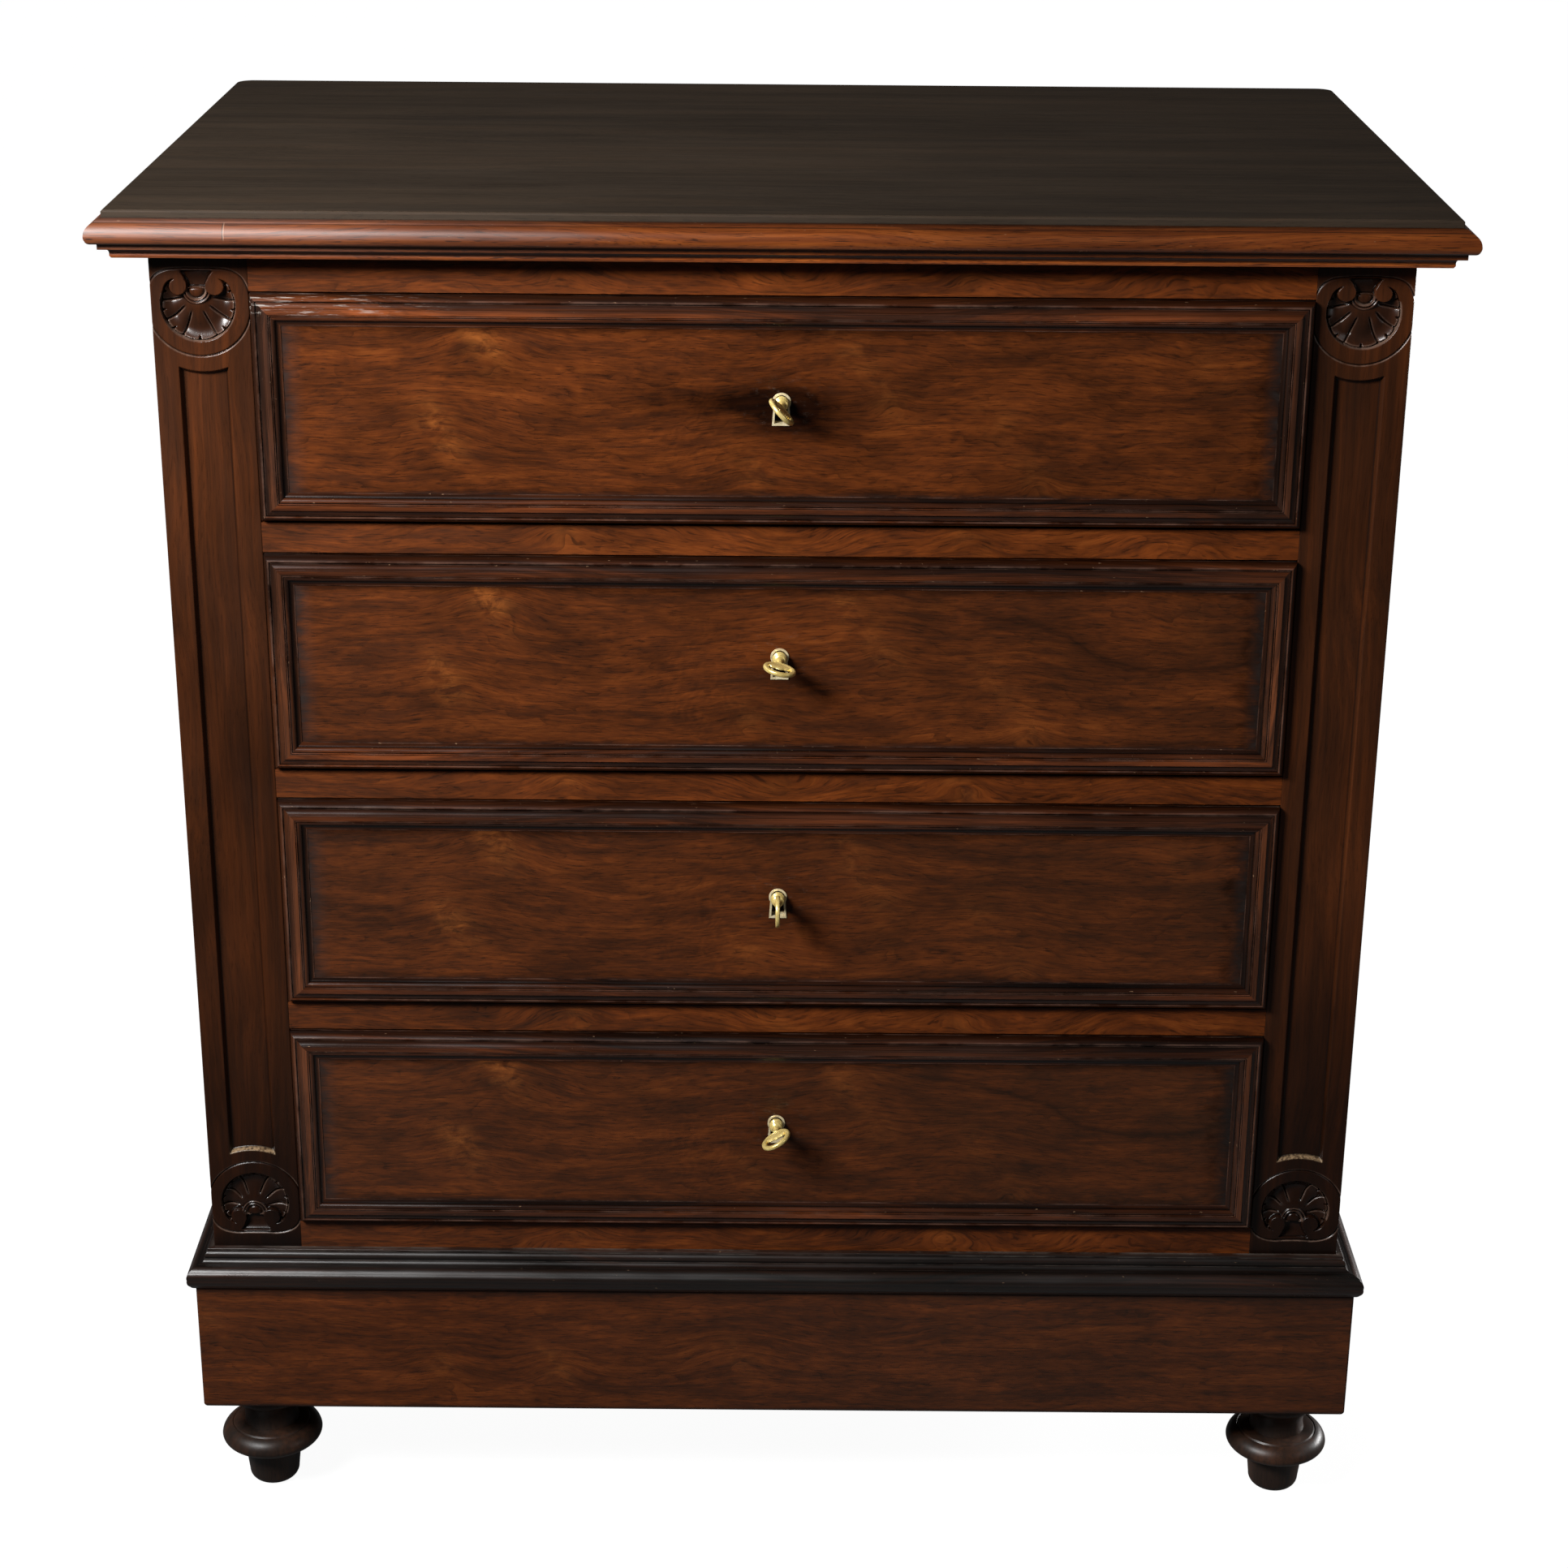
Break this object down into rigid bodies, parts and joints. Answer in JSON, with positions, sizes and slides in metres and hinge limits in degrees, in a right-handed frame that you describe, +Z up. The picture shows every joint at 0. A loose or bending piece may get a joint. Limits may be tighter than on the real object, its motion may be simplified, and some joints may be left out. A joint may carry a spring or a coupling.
{
  "type": "chest of drawers",
  "caption": "Bachelors chest with locking drawers framed in mitred mouldings between carved pilasters, on a moulded plinth with turned bun feet.",
  "frame": {"origin": "bottom centre of the bounding box, on the floor between the feet", "axes": "+Z up; -Y is the front, where the drawers open and the keys stand out; +X to the viewer's right"},
  "size_m": [0.952, 0.5918, 1.049],
  "materials": {
    "top_wood": "worn satin polish",
    "side_wood": "worn satin polish",
    "pilaster_wood": "glossy polish",
    "red_wood": "glossy polish",
    "veneer": "figured veneer, glossy polish",
    "dark_wood": "ebonised, glossy polish",
    "secondary_wood": "bare wood",
    "brass": "polished by handling",
    "iron": "dull iron"
  },
  "bodies": {
    "carcass": {"top_board": "top_wood", "cornice_torus": "red_wood", "cornice_cove": "red_wood", "side_left": "side_wood", "side_right": "side_wood", "pilaster_left": "pilaster_wood", "pilaster_right": "pilaster_wood", "top_rail": "red_wood", "drawer_rail_1": "red_wood", "drawer_rail_2": "red_wood", "drawer_rail_3": "red_wood", "bottom_rail": "red_wood", "back_boards": "secondary_wood", "bottom_board": "secondary_wood", "drawer_runners": "secondary_wood", "drawer_guides": "secondary_wood", "drawer_stops": "secondary_wood", "plinth": "red_wood", "plinth_moulding": "dark_wood", "corner_blocks": "secondary_wood", "foot_front_left": "dark_wood", "foot_front_right": "dark_wood", "foot_rear_left": "dark_wood", "foot_rear_right": "dark_wood"},
    "drawer_1": {"drawer_1_front": "veneer", "drawer_1_frame": "dark_wood", "drawer_1_sides": "secondary_wood", "drawer_1_back": "secondary_wood", "drawer_1_bottom": "secondary_wood", "drawer_1_escutcheon": "brass", "drawer_1_lock": "iron"},
    "bolt_1": {"drawer_1_bolt": "iron"},
    "key_1": {"drawer_1_key": "brass"},
    "drawer_2": {"drawer_2_front": "veneer", "drawer_2_frame": "dark_wood", "drawer_2_sides": "secondary_wood", "drawer_2_back": "secondary_wood", "drawer_2_bottom": "secondary_wood", "drawer_2_escutcheon": "brass", "drawer_2_lock": "iron"},
    "bolt_2": {"drawer_2_bolt": "iron"},
    "key_2": {"drawer_2_key": "brass"},
    "drawer_3": {"drawer_3_front": "veneer", "drawer_3_frame": "dark_wood", "drawer_3_sides": "secondary_wood", "drawer_3_back": "secondary_wood", "drawer_3_bottom": "secondary_wood", "drawer_3_escutcheon": "brass", "drawer_3_lock": "iron"},
    "bolt_3": {"drawer_3_bolt": "iron"},
    "key_3": {"drawer_3_key": "brass"},
    "drawer_4": {"drawer_4_front": "veneer", "drawer_4_frame": "dark_wood", "drawer_4_sides": "secondary_wood", "drawer_4_back": "secondary_wood", "drawer_4_bottom": "secondary_wood", "drawer_4_escutcheon": "brass", "drawer_4_lock": "iron"},
    "bolt_4": {"drawer_4_bolt": "iron"},
    "key_4": {"drawer_4_key": "brass"}
  },
  "joints": [
    {"name": "drawer_1_slide", "type": "slide", "parent": "carcass", "child": "drawer_1", "axis": [0, -1, 0], "range_m": [0, 0.36]},
    {"name": "key_1_turn", "type": "hinge", "parent": "drawer_1", "child": "key_1", "pos_m": [0, -0.2839, 0.9135], "axis": [0, -1, 0], "range_deg": [0, 90]},
    {"name": "bolt_1_throw", "type": "slide", "parent": "drawer_1", "child": "bolt_1", "axis": [0, 0, 1], "range_m": [0, 0.007]},
    {"name": "drawer_2_slide", "type": "slide", "parent": "carcass", "child": "drawer_2", "axis": [0, -1, 0], "range_m": [0, 0.36]},
    {"name": "key_2_turn", "type": "hinge", "parent": "drawer_2", "child": "key_2", "pos_m": [0, -0.2839, 0.7241], "axis": [0, -1, 0], "range_deg": [0, 90]},
    {"name": "bolt_2_throw", "type": "slide", "parent": "drawer_2", "child": "bolt_2", "axis": [0, 0, 1], "range_m": [0, 0.007]},
    {"name": "drawer_3_slide", "type": "slide", "parent": "carcass", "child": "drawer_3", "axis": [0, -1, 0], "range_m": [0, 0.36]},
    {"name": "key_3_turn", "type": "hinge", "parent": "drawer_3", "child": "key_3", "pos_m": [0, -0.2839, 0.5347], "axis": [0, 1, 0], "range_deg": [0, 90]},
    {"name": "bolt_3_throw", "type": "slide", "parent": "drawer_3", "child": "bolt_3", "axis": [0, 0, 1], "range_m": [0, 0.007]},
    {"name": "drawer_4_slide", "type": "slide", "parent": "carcass", "child": "drawer_4", "axis": [0, -1, 0], "range_m": [0, 0.36]},
    {"name": "key_4_turn", "type": "hinge", "parent": "drawer_4", "child": "key_4", "pos_m": [0, -0.2839, 0.3453], "axis": [0, 1, 0], "range_deg": [0, 90]},
    {"name": "bolt_4_throw", "type": "slide", "parent": "drawer_4", "child": "bolt_4", "axis": [0, 0, 1], "range_m": [0, 0.007]}
  ],
  "couplings": [
    {"joint": "key_1_turn", "follows": "bolt_1_throw", "rad_per_m": 224.4},
    {"joint": "key_2_turn", "follows": "bolt_2_throw", "rad_per_m": 224.4},
    {"joint": "key_3_turn", "follows": "bolt_3_throw", "rad_per_m": 224.4},
    {"joint": "key_4_turn", "follows": "bolt_4_throw", "rad_per_m": 224.4}
  ]
}
